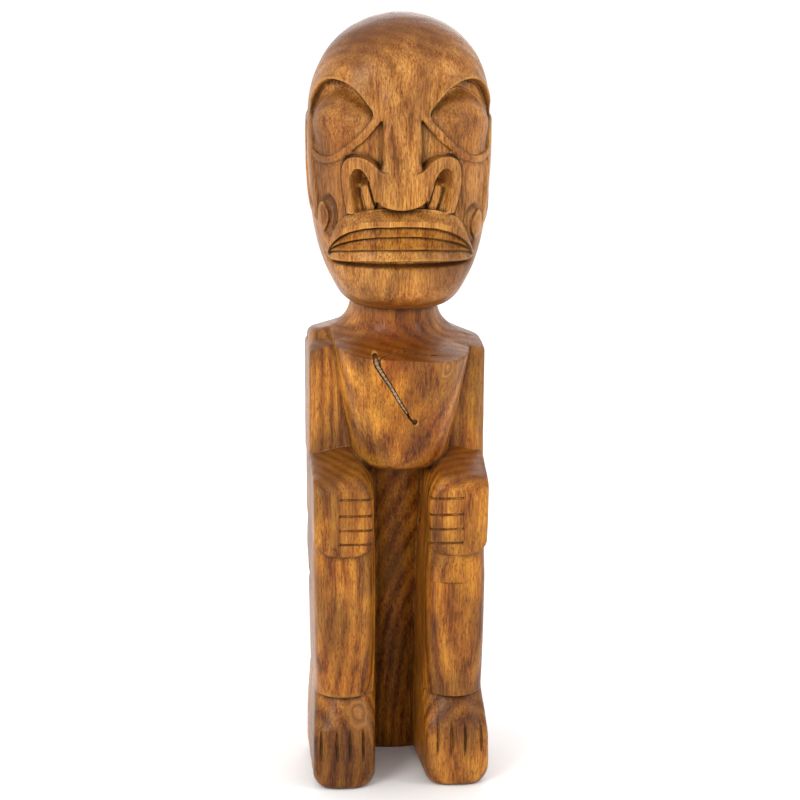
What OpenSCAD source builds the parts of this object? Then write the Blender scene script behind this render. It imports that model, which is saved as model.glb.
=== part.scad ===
// Standing tiki figure, carved from one squared log.
// Frame: the figure faces -Y, +Z is up and +X is the figure's own left.
// The origin lies on the ground, under the middle of the figure.

/* [Legs and feet] */
// Height of a foot, from the ground to the ankle ledge
foot_h = 72; // [66:1:80]
// Height of a shin, from the ankle ledge to the knee crease
shin_h = 80; // [72:1:90]
// Height of a thigh, which lies level under the hand
thigh_h = 46; // [42:1:52]
// Gap between the feet
foot_gap = 32; // [26:1:38]
// Number of grooves that part the toes of one foot
toe_grooves = 4; // [3:1:4]

/* [Body] */
// Width of the body across the feet, hands and shoulders
body_w = 141; // [136:1:150]
// Depth of the body from the toes to the back
body_d = 143; // [136:1:150]
// Height of a hand, from the knee to the top of the wrist
hand_h = 64; // [58:1:70]
// Height of the chest, from the wrists to the shoulders
chest_h = 92; // [84:1:100]
// Width of the chest at its upper rim
chest_w = 108; // [100:1:114]
// Number of grooves that part the fingers of one hand
finger_grooves = 4; // [3:1:4]

/* [Neck and head] */
// Height of the neck between the shoulders and the jaw
neck_h = 30; // [26:1:36]
// Height of the head, from the underside of the jaw to the crown
head_h = 226; // [212:1:240]
// Width of the head across the ears
head_w = 147; // [140:1:152]
// Height of one bulging eye
eye_h = 54; // [48:1:58]
// Width of the nose at the nostrils
nose_w = 41; // [37:1:44]
// Width of the mouth from corner to corner
mouth_w = 116; // [108:1:122]

/* [Hidden] */

// Heights of the levels where one carved member ends and the next begins
z_ankle = foot_h;
z_knee = z_ankle + shin_h;
z_wrist = z_knee + thigh_h;
z_elbow = z_wrist + hand_h;
z_shoulder = z_elbow + chest_h;
z_jaw = z_shoulder + neck_h;
z_crown = z_jaw + head_h;

half_w = body_w / 2;
front = -body_d / 2;
back = body_d / 2;
// The plane where the arms and thighs end and the back of the log begins
rear = back - 27;
// The plane of the flat front faces of the upper arms
arm_front = -22;
// Half the width of the core between the arms, and between the legs
core_w = 36;
inner_x = foot_gap / 2;
// The plane where the legs end and the post begins, and the foot of the post's front
leg_back = 34;
post_foot = 22;
round_fn = 48;

// Colours of the polished wood, of the darker hollows and of the crack filling
wood = [0.62, 0.37, 0.16];
wood_light = [0.70, 0.45, 0.22];
wood_dark = [0.45, 0.24, 0.10];
filling = [0.80, 0.66, 0.44];

// ---- outlines and lofts ----

function signed_power(v, p) = sign(v) * pow(abs(v), p);

// Superellipse ring at height z: half width a about xc, from y0 to y1, exponent e
function ring(z, xc, a, y0, y1, e, n = round_fn) = [
    for (i = [0 : n - 1])
        let (t = 360 * i / n)
        [
            xc + a * signed_power(cos(t), 2 / e),
            (y0 + y1) / 2 + (y1 - y0) / 2 * signed_power(sin(t), 2 / e),
            z
        ]
];

// Smooth curve through p1 and p2, with p0 and p3 as their neighbours
function blend(p0, p1, p2, p3, t) = 0.5 * (
    2 * p1 + (p2 - p0) * t
    + (2 * p0 - 5 * p1 + 4 * p2 - p3) * t * t
    + (3 * p1 - p0 - 3 * p2 + p3) * t * t * t
);

// The stations with k - 1 more between each two
function smooth(s, k) = let (m = len(s) - 1) concat(
    [
        for (i = [0 : m - 1])
            for (j = [0 : k - 1])
                blend(s[max(i - 1, 0)], s[i], s[i + 1], s[min(i + 2, m)], j / k)
    ],
    [s[m]]
);

// Closed solid through rings that run counter-clockwise seen from the far end
module loft(rings) {
    n = len(rings[0]);
    m = len(rings);
    polyhedron(
        points = [for (r = rings) each r],
        faces = concat(
            [[for (i = [0 : n - 1]) i]],
            [
                for (j = [0 : m - 2])
                    for (i = [0 : n - 1])
                        let (k = (i + 1) % n, a = j * n, b = a + n)
                        each [[a + i, b + i, b + k], [a + i, b + k, a + k]]
            ],
            [[for (i = [n - 1 : -1 : 0]) (m - 1) * n + i]]
        )
    );
}

// Quarter circle of radius r about [cx, cy], starting at angle a0
function corner(cx, cy, r, a0, n = 6) = [
    for (i = [0 : n]) [cx + r * cos(a0 + 90 * i / n), cy + r * sin(a0 + 90 * i / n)]
];

// Rectangle with its own radius at each corner: high-high, low-high, low-low, high-low
function rounded(x0, x1, y0, y1, r) = concat(
    corner(x1 - r[0], y1 - r[0], r[0], 0),
    corner(x0 + r[1], y1 - r[1], r[1], 90),
    corner(x0 + r[2], y0 + r[2], r[2], 180),
    corner(x1 - r[3], y0 + r[3], r[3], 270)
);

// Prisms along each axis: a plan in XY, an elevation in XZ, a side view in YZ
module prism_z(pts, z0, z1) {
    translate([0, 0, z0])
        linear_extrude(z1 - z0) polygon(pts);
}

module prism_y(pts, y0, y1) {
    translate([0, y1, 0])
        rotate([90, 0, 0])
            linear_extrude(y1 - y0) polygon(pts);
}

module prism_x(pts, x0, x1) {
    translate([x0, 0, 0])
        rotate([90, 0, 90])
            linear_extrude(x1 - x0) polygon(pts);
}

// The figure's right-hand copy of a left-hand member
module opposite() {
    mirror([1, 0, 0]) children();
}

// ---- head ----

// Head stations: share of the height, half width, front, back, exponent
head_form = [
    [0.000, 35.0, -38.0, 44.0, 2.2],
    [0.013, 40.0, -48.0, 49.0, 2.3],
    [0.040, 46.0, -56.0, 53.0, 2.4],
    [0.084, 52.0, -60.0, 57.0, 2.5],
    [0.150, 58.5, -61.0, 60.0, 2.6],
    [0.250, 65.0, -60.5, 62.0, 2.6],
    [0.380, 70.0, -60.0, 64.0, 2.6],
    [0.510, 71.5, -59.5, 66.0, 2.6],
    [0.640, 71.5, -59.5, 66.0, 2.6],
    [0.750, 69.5, -58.5, 63.0, 2.5],
    [0.845, 63.5, -54.0, 56.0, 2.4],
    [0.910, 54.0, -46.0, 47.0, 2.3],
    [0.955, 41.0, -35.0, 36.0, 2.2],
    [0.985, 25.0, -21.0, 23.0, 2.1],
    [1.000, 8.0, -7.0, 8.0, 2.0]
];
head_curve = smooth(head_form, 2);
head_x = head_w / 147;

// Value k of the head's stations at height z, and the face's depth at [x, z]
function head_at(z, k) = lookup((z - z_jaw) / head_h, [for (s = head_curve) [s[0], s[k]]]);
function face_y(x, z) =
    let (a = head_at(z, 1) * head_x, y0 = head_at(z, 2), y1 = head_at(z, 3), e = head_at(z, 4))
    (y0 + y1) / 2 - (y1 - y0) / 2 * pow(max(0, 1 - pow(abs(x) / a, e)), 1 / e);

// Height on the head at a given share of it
function head_z(share) = z_jaw + share * head_h;

module skull() {
    loft([
        for (s = head_curve)
            ring(head_z(s[0]), 0, s[1] * head_x, s[2], s[3], s[4])
    ]);
}

// Eyes: centre, half height, and reach towards the temple and towards the nose
eye_x = 45;
eye_z = head_z(0.662);
eye_r = eye_h / 2;
eye_out = 23;
eye_in = 25;
eye_deep = 12;
// How deep the middle of the eye lies behind the surface of the face
eye_sunk = 6;

// Teardrop eyeball with its point towards the nose, curved with the face
module eye_form() {
    loft([
        for (k = [-7 : 7])
            let (s = sin(90 * k / 7.3), w = sqrt(1 - s * s))
            [
                for (i = [0 : 23])
                    let (
                        t = 15 * i,
                        reach = cos(t) > 0 ? eye_out * w : eye_in * pow(w, 1.7),
                        x = eye_x + reach * cos(t),
                        z = eye_z + eye_r * s
                    )
                    [x, face_y(x, z) + eye_sunk + eye_deep * w * sin(t), z]
            ]
    ]);
}

// Rings of an oval band that follows the face along points [x, z, proud, half width]
function band_rings(path, thick, n = 10) = [
    for (i = [0 : len(path) - 1])
        let (
            p = path[i],
            q = path[min(i + 1, len(path) - 1)] - path[max(i - 1, 0)],
            c = [p[0], face_y(p[0], p[1]) - p[2], p[1]],
            w = [-q[1], 0, q[0]] / norm([q[0], q[1]])
        )
        [
            for (j = [0 : n - 1])
                let (t = 360 * j / n)
                c + [0, 1, 0] * thick * cos(t) + w * p[3] * sin(t)
        ]
];

// Lid that starts at the inner corner and runs under the eye to the temple
lid_path = [
    for (k = [0 : 12])
        let (t = 184 + 150 * k / 12)
        [
            eye_x + 1 + (eye_out + 5.5) * cos(t) * (k < 4 ? 1 + 0.01 * (4 - k) : 1),
            eye_z + 1 + (eye_r + 4.5) * sin(t),
            0.5,
            3.4
        ]
];

module eyelid_form() {
    loft(band_rings(lid_path, 4));
}

module eyelid() {
    color(wood_light)
        difference() {
            eyelid_form();
            eye_form();
        }
}

// Nose: share of head height, half width as a share of the nose, and front
nose_form = [
    [0.345, 0.44, -69.5],
    [0.375, 0.50, -71.5],
    [0.430, 0.49, -71.0],
    [0.490, 0.42, -68.5],
    [0.560, 0.38, -66.0],
    [0.640, 0.37, -64.0],
    [0.720, 0.42, -61.5],
    [0.780, 0.48, -58.5]
];

module nose_block() {
    loft([
        for (s = smooth(nose_form, 2))
            ring(head_z(s[0]), 0, s[1] * nose_w, s[2] * body_d / 143, -42, 4.5, 28)
    ]);
}

// Nostril wing: an upturned U beside the nose
wing_x = nose_w / 2 + 12.5;
wing_path = [
    for (k = [0 : 12])
        let (t = 200 - 220 * k / 12)
        [
            wing_x + 10.5 * cos(t),
            head_z(0.400) + 27 * max(sin(t), -0.2) * (sin(t) > 0 ? 1 : 3),
            3.5,
            3.6
        ]
];

module nostril_form() {
    loft(band_rings(wing_path, 7));
}

module nostril() {
    color(wood_light)
        difference() {
            nostril_form();
            nose_block();
            upper_lip_form();
        }
}

// The slot inside the nostril wing
module nostril_slot() {
    hull()
        for (z = [0.35, 0.43])
            translate([wing_x - 1, face_y(wing_x, head_z(z)) - 1, head_z(z)])
                scale([1, 1.2, 1.5]) sphere(r = 5, $fn = 16);
}

// The three-cornered hollow between the lid, the nose and the nostril wing
module cheek_hollow() {
    hull() {
        translate([nose_w / 2 - 2, face_y(18, head_z(0.63)) - 1, head_z(0.63)]) sphere(r = 3, $fn = 12);
        translate([nose_w / 2, face_y(18, head_z(0.50)) - 1, head_z(0.48)]) sphere(r = 3.5, $fn = 12);
        translate([nose_w / 2 + 16, face_y(36, head_z(0.53)) - 1, head_z(0.535)]) sphere(r = 3, $fn = 12);
    }
}

// The undercut below a brow, above the eye
brow_path = [[22, 0.690], [32, 0.770], [45, 0.795], [57, 0.770], [66, 0.705]];

module brow_hollow() {
    for (k = [0 : len(brow_path) - 2])
        hull()
            for (p = [brow_path[k], brow_path[k + 1]])
                translate([p[0], face_y(p[0], head_z(p[1])), head_z(p[1])])
                    scale([1, 0.7, 1]) sphere(r = 4, $fn = 16);
}

// A band of the mouth: height at the middle and at the corners, half height, proudness
module mouth_band(z_mid, z_end, r_mid, r_end, proud) {
    loft([
        for (k = [-12 : 12])
            let (
                u = sin(90 * k / 12),
                x = mouth_w / 2 * u,
                f = 1 - pow(abs(u), 2.2),
                z = z_end + (z_mid - z_end) * f,
                r = r_end + (r_mid - r_end) * f
            )
            [
                for (j = [0 : 11])
                    let (t = 30 * j)
                    [
                        x,
                        face_y(x, z) + 2 - (proud * f + 3) * signed_power(-cos(t), 0.8),
                        z + r * signed_power(sin(t), 0.8)
                    ]
            ]
    ]);
}

module upper_lip_form() {
    mouth_band(head_z(0.322), head_z(0.215), 8.5, 3.5, 10);
}

module mouth_ridge(k) {
    mouth_band(head_z(0.268 - 0.034 * k), head_z(0.209 - 0.006 * k), 4.2, 1.8, 9.5 - k);
}

module lower_lip_form() {
    mouth_band(head_z(0.200), head_z(0.193), 4.6, 3.2, 8.5);
}

// Ear: a long raised band down the side of the head that ends in a scroll in front.
// Each point holds y, share of the head's height, half width and proudness.
ear_path = smooth([
    [22, 0.625, 2, -1.0],
    [8, 0.640, 7, 1.0],
    [-6, 0.560, 11, 1.6],
    [-14, 0.450, 10, 1.6],
    [-26, 0.370, 7, 1.6],
    [-36, 0.315, 7, 2.2],
    [-40, 0.275, 4, 1.0]
], 3);

// Distance of the side of the head from the middle plane, and its normal in plan
function side_x(y, z) =
    let (a = head_at(z, 1) * head_x, y0 = head_at(z, 2), y1 = head_at(z, 3), e = head_at(z, 4))
    a * pow(max(0, 1 - pow(abs(2 * y - y0 - y1) / (y1 - y0), e)), 1 / e);
function side_normal(y, z) =
    let (d = [side_x(y - 1, z) - side_x(y + 1, z), 0] / 2)
    [1, d[0], 0] / norm([1, d[0]]);

module ear_form() {
    last = len(ear_path) - 1;
    loft([
        for (i = [0 : last])
            let (
                p = ear_path[i],
                q = ear_path[min(i + 1, last)] - ear_path[max(i - 1, 0)],
                z = head_z(p[1]),
                t = [0, q[0], q[1] * head_h] / norm([q[0], q[1] * head_h]),
                u = side_normal(p[0], z),
                c = [side_x(p[0], z), p[0], z] + u * (p[3] - 4)
            )
            [
                for (j = [0 : 11])
                    let (g = 30 * j)
                    c + u * 4 * cos(g) + cross(t, u) * p[2] * sin(g)
            ]
    ]);
}

module ear() {
    color(wood_light) ear_form();
}

module face_side() {
    eye_form();
    eyelid_form();
    nostril_form();
    nostril_slot();
    cheek_hollow();
    brow_hollow();
    ear_form();
}

module head() {
    color(wood)
        difference() {
            skull();
            face_side();
            opposite() face_side();
            nose_block();
            upper_lip_form();
            mouth_ridge(0);
            mouth_ridge(1);
            lower_lip_form();
        }
}

module eye() {
    color(wood_light) eye_form();
}

module nose() {
    color(wood)
        difference() {
            nose_block();
            upper_lip_form();
        }
}

module upper_lip() {
    color(wood) upper_lip_form();
}

module mouth_ridges() {
    color(wood_dark)
        difference() {
            union() {
                mouth_ridge(0);
                mouth_ridge(1);
            }
            upper_lip_form();
            lower_lip_form();
        }
}

module lower_lip() {
    color(wood)
        difference() {
            lower_lip_form();
            upper_lip_form();
        }
}

// ---- neck and trunk ----

// Neck that flares down to the shoulders and to the sloping top of the chest
module neck() {
    color(wood)
        loft([
            for (s = smooth([
                [0.00, 62, -67, 60, 2.0],
                [0.25, 51, -54, 55, 2.1],
                [0.55, 38, -41, 47, 2.3],
                [1.00, 35, -38, 44, 2.2]
            ], 3))
                ring(z_shoulder + s[0] * neck_h, 0, s[1], s[2], s[3], s[4])
        ]);
}

// Chest: a bell, widest at its upper rim, rounded in plan and running in below
chest_drop = 18;

module chest() {
    half = chest_w / 2;
    bell = concat(
        [[half, z_shoulder], [-half, z_shoulder], [-half, z_shoulder - 8]],
        [
            for (i = [0 : 12])
                let (t = 180 + 15 * i)
                [38 * cos(t), z_elbow + chest_drop * (1 + sin(t))]
        ],
        [[half, z_shoulder - 8]]
    );
    color(wood)
        intersection() {
            prism_y(bell, front, arm_front);
            translate([0, -4, z_elbow - 1])
                cylinder(r1 = 57, r2 = 64, h = chest_h + 2, $fn = 96);
        }
}

// Log outline in plan from the plane y0 to the back, with round rear corners
function rear_plan(y0, w, r) = rounded(-w, w, y0, back, [r, r, 0.5, 0.5]);

module trunk() {
    color(wood_dark)
        intersection() {
            union() {
                prism_z(rear_plan(rear, half_w - 2, 24), z_elbow, z_shoulder);
                translate([-core_w, arm_front, z_elbow])
                    cube([2 * core_w, rear - arm_front + 1, chest_h]);
            }
            prism_x([
                [arm_front, z_elbow], [back, z_elbow], [back, z_shoulder - 26],
                [back - 8, z_shoulder - 9], [back - 22, z_shoulder], [arm_front, z_shoulder]
            ], -half_w, half_w);
        }
}

// ---- arms ----

module upper_arm() {
    color(wood)
        intersection() {
            prism_z(
                rounded(core_w, half_w - 1, arm_front, rear, [4, 0.5, 0.5, 9]),
                z_elbow, z_shoulder
            );
            prism_y(
                rounded(core_w, half_w - 1, z_elbow, z_shoulder, [12, 0.5, 0.5, 1]),
                arm_front, rear
            );
        }
}

module forearm() {
    color(wood)
        intersection() {
            prism_z(
                rounded(inner_x, half_w, arm_front, rear, [6, 0.5, 0.5, 0.5]),
                z_wrist, z_elbow
            );
            prism_x(
                rounded(arm_front, rear, z_wrist, z_elbow, [1, 0.5, 0.5, 22]),
                inner_x, half_w
            );
        }
}

// Grooves across the inner half of the hand
finger_pitch = 12.2;
groove_w = 3.4;
groove_deep = 3.6;

module finger_groove(z) {
    prism_x([
        [front - 1, z - groove_w / 2 - 0.5],
        [front - 1, z + groove_w / 2 + 0.5],
        [front + groove_deep, z]
    ], inner_x - 1, inner_x + 32);
}

module hand() {
    color(wood_light)
        difference() {
            intersection() {
                prism_y(
                    rounded(inner_x, half_w, z_wrist, z_elbow, [12, 20, 12, 15]),
                    front, arm_front
                );
                prism_x([
                    [arm_front, z_wrist], [front + 7, z_wrist], [front + 2, z_wrist + 4],
                    [front, z_wrist + 11], [front, z_elbow - 15], [front + 4, z_elbow - 8],
                    [front + 12, z_elbow - 4], [arm_front, z_elbow]
                ], inner_x, half_w);
                prism_z(
                    rounded(inner_x, half_w, front, arm_front, [0.5, 0.5, 9, 12]),
                    z_wrist, z_elbow
                );
            }
            for (k = [0 : finger_grooves - 1])
                finger_groove(z_wrist + 10 + finger_pitch * k);
            // The line between the fingers and the back of the hand
            translate([inner_x + 32, front + 1, z_wrist + 8])
                cylinder(r = 2, h = finger_pitch * 3 + 4, $fn = 24);
        }
}

// ---- hips, legs and feet ----

module hips() {
    color(wood_dark)
        difference() {
            prism_z(rear_plan(rear, half_w - 1, 25), z_knee, z_elbow);
            // Crease down the middle of the seat
            translate([0, back + 3, z_knee - 1])
                cylinder(r = 7, h = thigh_h + 20, $fn = 32);
        }
}

// Thigh that runs level from the knee back to the hip
module thigh() {
    color(wood)
        prism_x(
            rounded(arm_front, rear, z_knee, z_wrist, [0.5, 0.5, 0.5, 5]),
            inner_x, half_w - 2
        );
}

leg_x = (inner_x + half_w - 2) / 2;
leg_r = (half_w - 2 - inner_x) / 2;

// Shin with the knee on top: the knee stands in front of the thigh
module shin() {
    leg_h = shin_h + thigh_h;
    color(wood)
        difference() {
            loft([
                for (s = smooth([
                    [0.00, 0.96, 10, 32, 3.2],
                    [0.10, 0.93, 10, 31, 3.0],
                    [0.30, 0.97, 6.5, 33, 3.0],
                    [0.60, 1.00, 4.5, 34, 3.2],
                    [0.85, 1.00, 5, 34, 3.4],
                    [1.00, 0.98, 8, 34, 3.6]
                ], 3))
                    ring(z_ankle + s[0] * leg_h, leg_x, leg_r * s[1], front + s[2], s[3], s[4], 40)
            ]);
            translate([0, arm_front, z_knee])
                cube([half_w, body_d, thigh_h + 1]);
        }
}

// A groove between two toes: a spindle that stands in the front of the foot
toe_pitch = 11.5;

module toe_groove(x) {
    translate([x, front + 1, 38])
        rotate([-8, 0, 0])
            rotate_extrude($fn = 32)
                polygon([[0, -14], [1.6, -7], [2.3, 0], [1.9, 7], [0, 14]]);
}

module foot() {
    color(wood_light)
        difference() {
            intersection() {
                prism_z(
                    rounded(inner_x, half_w, front, leg_back, [8, 4, 12, 14]),
                    0, z_ankle
                );
                prism_x([
                    [leg_back, 0], [front + 5, 0], [front + 1, 4], [front, 12], [front, 42],
                    [front + 2, 50], [front + 7, 56], [front + 14, z_ankle - 8],
                    [front + 15, z_ankle], [leg_back, z_ankle]
                ], inner_x, half_w);
            }
            for (k = [0 : toe_grooves - 1])
                toe_groove(inner_x + 11 + toe_pitch * k);
        }
}

// Core of the log between and behind the legs
post_w = 40;

module post() {
    color(wood_dark)
        union() {
            prism_x([
                [arm_front, z_elbow], [arm_front + 4, z_wrist], [post_foot, 0],
                [rear, 0], [rear, z_elbow]
            ], -inner_x, inner_x);
            prism_z(rounded(-post_w, post_w, leg_back, back, [16, 16, 0.5, 0.5]), 0, z_knee);
        }
}

// Pale filling of the drying crack across the chest
crack_len = 48;
crack_lean = 39;

module crack_filler() {
    color(filling)
        translate([-9, -66, z_shoulder - 24])
            rotate([3, 0, 0])
                rotate([0, -crack_lean, 0])
                    translate([0, 0, -crack_len / 2])
                        cylinder(r = 1.5, h = crack_len, $fn = 24);
}

// ---- assembly ----

head();
opposite() eye();  // right_eye
eye();  // left_eye
opposite() eyelid();  // right_eyelid
eyelid();  // left_eyelid
nose();
opposite() nostril();  // right_nostril
nostril();  // left_nostril
upper_lip();
mouth_ridges();
lower_lip();
opposite() ear();  // right_ear
ear();  // left_ear
neck();
chest();
trunk();
opposite() upper_arm();  // right_upper_arm
upper_arm();  // left_upper_arm
opposite() forearm();  // right_forearm
forearm();  // left_forearm
opposite() hand();  // right_hand
hand();  // left_hand
hips();
opposite() thigh();  // right_thigh
thigh();  // left_thigh
opposite() shin();  // right_shin
shin();  // left_shin
opposite() foot();  // right_foot
foot();  // left_foot
post();
crack_filler();
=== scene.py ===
"""Tiki figure carved from one log: one closed carved piece for each CAD node, wood material, studio.

The whole carving is one distance field in millimetres, G, made of one field per member. Each piece is the
part of G that lies nearest its own member, so neighbours meet along the carved creases."""

import math

import bpy
import numpy as np
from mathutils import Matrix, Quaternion, Vector


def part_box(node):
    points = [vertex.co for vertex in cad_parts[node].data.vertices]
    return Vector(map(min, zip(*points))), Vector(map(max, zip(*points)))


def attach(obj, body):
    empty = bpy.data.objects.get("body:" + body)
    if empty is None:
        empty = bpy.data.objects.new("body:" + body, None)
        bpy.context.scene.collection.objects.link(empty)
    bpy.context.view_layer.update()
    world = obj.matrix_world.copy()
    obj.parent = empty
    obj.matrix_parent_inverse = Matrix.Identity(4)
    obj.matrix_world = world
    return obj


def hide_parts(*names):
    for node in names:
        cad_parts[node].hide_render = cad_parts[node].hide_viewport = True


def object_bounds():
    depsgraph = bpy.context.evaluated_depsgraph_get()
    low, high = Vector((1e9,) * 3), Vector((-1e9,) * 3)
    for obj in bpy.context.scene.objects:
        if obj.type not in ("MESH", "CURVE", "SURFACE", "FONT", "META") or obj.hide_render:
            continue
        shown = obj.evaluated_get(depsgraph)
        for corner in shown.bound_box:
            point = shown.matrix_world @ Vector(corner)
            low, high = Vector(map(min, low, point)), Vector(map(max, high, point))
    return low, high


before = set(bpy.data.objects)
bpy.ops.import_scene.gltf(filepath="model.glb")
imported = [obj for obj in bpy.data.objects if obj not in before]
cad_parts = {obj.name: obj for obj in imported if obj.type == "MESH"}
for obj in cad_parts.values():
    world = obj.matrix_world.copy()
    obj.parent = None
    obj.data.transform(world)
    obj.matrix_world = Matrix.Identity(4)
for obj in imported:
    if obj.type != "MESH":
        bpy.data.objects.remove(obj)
CAD_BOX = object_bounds()

MM = 1000.0  # the carving's fields are in millimetres, Blender is in metres
FAR = 14.0  # a member is not evaluated further than this from its CAD box


def box_mm(node):
    low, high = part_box(node)
    return np.array(low) * MM, np.array(high) * MM


# ---- levels and planes of the figure, from the CAD ----
HAND_LOW, HAND_HIGH = box_mm("left_hand")
POST_HIGH = box_mm("post")[1]
Z_ANKLE = box_mm("left_foot")[1][2]
Z_WRIST = HAND_LOW[2]
Z_ELBOW = HAND_HIGH[2]
Z_KNEE = box_mm("left_thigh")[0][2]
Z_SHOULDER = box_mm("chest")[1][2]
Z_JAW, Z_CROWN = box_mm("head")[0][2], box_mm("head")[1][2]
HALF_W = HAND_HIGH[0]
FRONT, BACK = HAND_LOW[1], POST_HIGH[1]
INNER = HAND_LOW[0]
LIMB_MID = (INNER + HALF_W) / 2
LIMB_HALF = 27.0  # half width of a hand, a shin and a foot
ARM_FRONT = HAND_HIGH[1]
REAR = box_mm("left_upper_arm")[1][1]
LEG_BACK = box_mm("left_foot")[1][1]


# ---- field toolkit ----
def smin(a, b, k):
    """The smaller field, with a fillet of about k where the two meet."""
    h = np.clip(0.5 + 0.5 * (b - a) / k, 0, 1)
    return b * (1 - h) + a * h - k * h * (1 - h)


def smax(a, b, k):
    return -smin(-a, -b, k)


def smax_all(k, *fields):
    out = fields[0]
    for f in fields[1:]:
        out = smax(out, f, k)
    return out


def step(t):
    t = np.clip(t, 0, 1)
    return t * t * (3 - 2 * t)


def bump(t):
    """Soft hill, 1 at t = 0 and close to 0 from |t| = 2 on."""
    return np.exp(-t * t)


def table(t, at, values):
    return np.interp(t, at, values).astype(np.float32)


def spline(points, per=6, closed=False):
    """Smooth curve through a few control points, as a dense polyline."""
    p = np.array(points, float)
    n = len(p)
    out = []
    for i in range(n if closed else n - 1):
        if closed:
            a, b, c, d = p[(i - 1) % n], p[i], p[(i + 1) % n], p[(i + 2) % n]
        else:
            a, b, c, d = p[max(i - 1, 0)], p[i], p[i + 1], p[min(i + 2, n - 1)]
        for j in range(per):
            t = j / per
            square, cube = 2 * a - 5 * b + 4 * c - d, 3 * b - a - 3 * c + d
            out.append(0.5 * (2 * b + (c - a) * t + square * t**2 + cube * t**3))
    if not closed:
        out.append(p[-1])
    return np.array(out, np.float32)


def to_segment(u, v, a, b):
    """How far along a segment each point lies, as a share, and its squared distance from it."""
    (au, av), (bu, bv) = a, b
    du, dv = bu - au, bv - av
    t = np.clip(((u - au) * du + (v - av) * dv) / (du * du + dv * dv + 1e-9), 0, 1)
    return t, (u - au - t * du) ** 2 + (v - av - t * dv) ** 2


def curve_distance(u, v, line):
    """Distance from each point to a polyline, and the share of the line's length there."""
    best = np.full(u.shape, 1e9, np.float32)
    share = np.zeros(u.shape, np.float32)
    m = len(line) - 1
    for i in range(m):
        t, d = to_segment(u, v, line[i], line[i + 1])
        near = d < best
        best = np.where(near, d, best)
        share = np.where(near, (i + t) / m, share)
    return np.sqrt(best), share


def outline_distance(u, v, ring):
    """Signed distance to a closed outline, negative inside."""
    best = np.full(u.shape, 1e9, np.float32)
    inside = np.zeros(u.shape, bool)
    n = len(ring)
    for i in range(n):
        (au, av), (bu, bv) = ring[i], ring[(i + 1) % n]
        best = np.minimum(best, to_segment(u, v, ring[i], ring[(i + 1) % n])[1])
        if av != bv:
            inside ^= ((av > v) != (bv > v)) & (u < (bu - au) * (v - av) / (bv - av) + au)
    return np.where(inside, -1, 1) * np.sqrt(best)


def rounded_box(x, y, lo, hi, r):
    """Signed distance to a rectangle with corner radius r."""
    cx, cy = (lo[0] + hi[0]) / 2, (lo[1] + hi[1]) / 2
    qx = np.abs(x - cx) - (hi[0] - lo[0]) / 2 + r
    qy = np.abs(y - cy) - (hi[1] - lo[1]) / 2 + r
    return np.hypot(np.maximum(qx, 0), np.maximum(qy, 0)) + np.minimum(np.maximum(qx, qy), 0) - r


def loft(x, y, z, stations):
    """Superellipse sections up Z. A station is height, half width, front, back, exponent."""
    s = spline(stations, 8)
    a, y0, y1, e = (table(z, s[:, 0], s[:, k]) for k in (1, 2, 3, 4))
    widening = np.gradient(s[:, 1] + (s[:, 3] - s[:, 2]) / 2, s[:, 0]) / 2
    slope = table(z, s[:, 0], widening)
    b, dy = (y1 - y0) / 2, y - (y0 + y1) / 2
    rho = (np.abs(x / a) ** e + np.abs(dy / b) ** e) ** (1 / e)
    rho = np.maximum(rho, 0.05)
    return np.hypot(x, dy) * (1 - 1 / rho) / np.sqrt(1 + slope * slope)


def wave(x, y, z, size, seed):
    """Cheap smooth noise from a few fixed waves, about -1 to 1."""
    rng = np.random.default_rng(seed)
    out = 0
    for _ in range(5):
        d = rng.normal(size=3)
        d = d / np.linalg.norm(d) * 2 * math.pi / size * rng.uniform(0.7, 1.4)
        out = out + np.sin(x * d[0] + y * d[1] + z * d[2] + rng.uniform(0, 6.3))
    return out / 3


# ---- head ----
# Height above the jaw, half width, front, back, exponent
HEAD_FORM = [
    (0, 35, -38, 44, 2.2), (3, 40, -48, 49, 2.3), (9, 46, -56, 53, 2.4), (19, 52, -60, 57, 2.5),
    (34, 59, -61, 60, 2.6), (56, 65.3, -60.5, 62, 2.6), (86, 69.4, -60, 64, 2.6), (115, 70.8, -59.5, 66, 2.6),
    (145, 70.6, -59.5, 66, 2.6), (170, 68.2, -58.5, 63, 2.5), (191, 60.5, -54, 56, 2.4),
    (206, 49.5, -45, 46, 2.2), (216, 37, -34, 34, 2.1), (222.5, 22.5, -21, 21, 2.0), (226, 8, -7, 8, 2),
]
FACE_R = 64.0  # radius of the cylinder on which the face's features are laid out
FACE_Y = 4.0  # its axis
FACE_SHIFT = 2.0  # the carver set the face a little to its right of the middle

# Features of one half of the face: distance round from the middle, height above the jaw
ORBIT = spline([
    (21.8, 152), (26.5, 162), (38, 174), (55, 178.8), (70, 173.5), (81, 160), (86, 145), (80, 128),
    (70, 121), (54, 120), (42, 128), (30, 140),
], 3, closed=True)
EYE = spline([
    (22.6, 151.5), (31, 161), (48, 171.3), (61, 168.5), (74, 157), (81, 143), (77, 128.5), (67, 121.5),
    (54, 120), (41, 128), (30, 139.6),
], 3, closed=True)
EYE_LINE = 150.5
LID = spline([
    (18.8, 149.5), (25, 141.5), (31, 134.8), (37.5, 128.3), (44, 123), (50.5, 119), (58, 117),
    (68, 117.5), (77, 122),
], 3)
CHEEK_HOLLOW = spline([
    (14.2, 149.5), (18.4, 145.5), (23.5, 139.5), (29.5, 132.8), (38, 125), (29, 122.4), (21, 118.4),
    (14.6, 111.5), (14.2, 125), (14.2, 138),
], 2, closed=True)
WING = spline([
    (9, 90), (9, 108), (14.5, 111.5), (20, 117.4), (27, 121.2), (34, 121.6), (39.6, 119), (42.8, 113),
    (43.4, 104), (42.2, 95), (40, 85), (37.4, 76.5), (28, 74.7), (22.5, 76), (18, 88),
], 3, closed=True)
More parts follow.
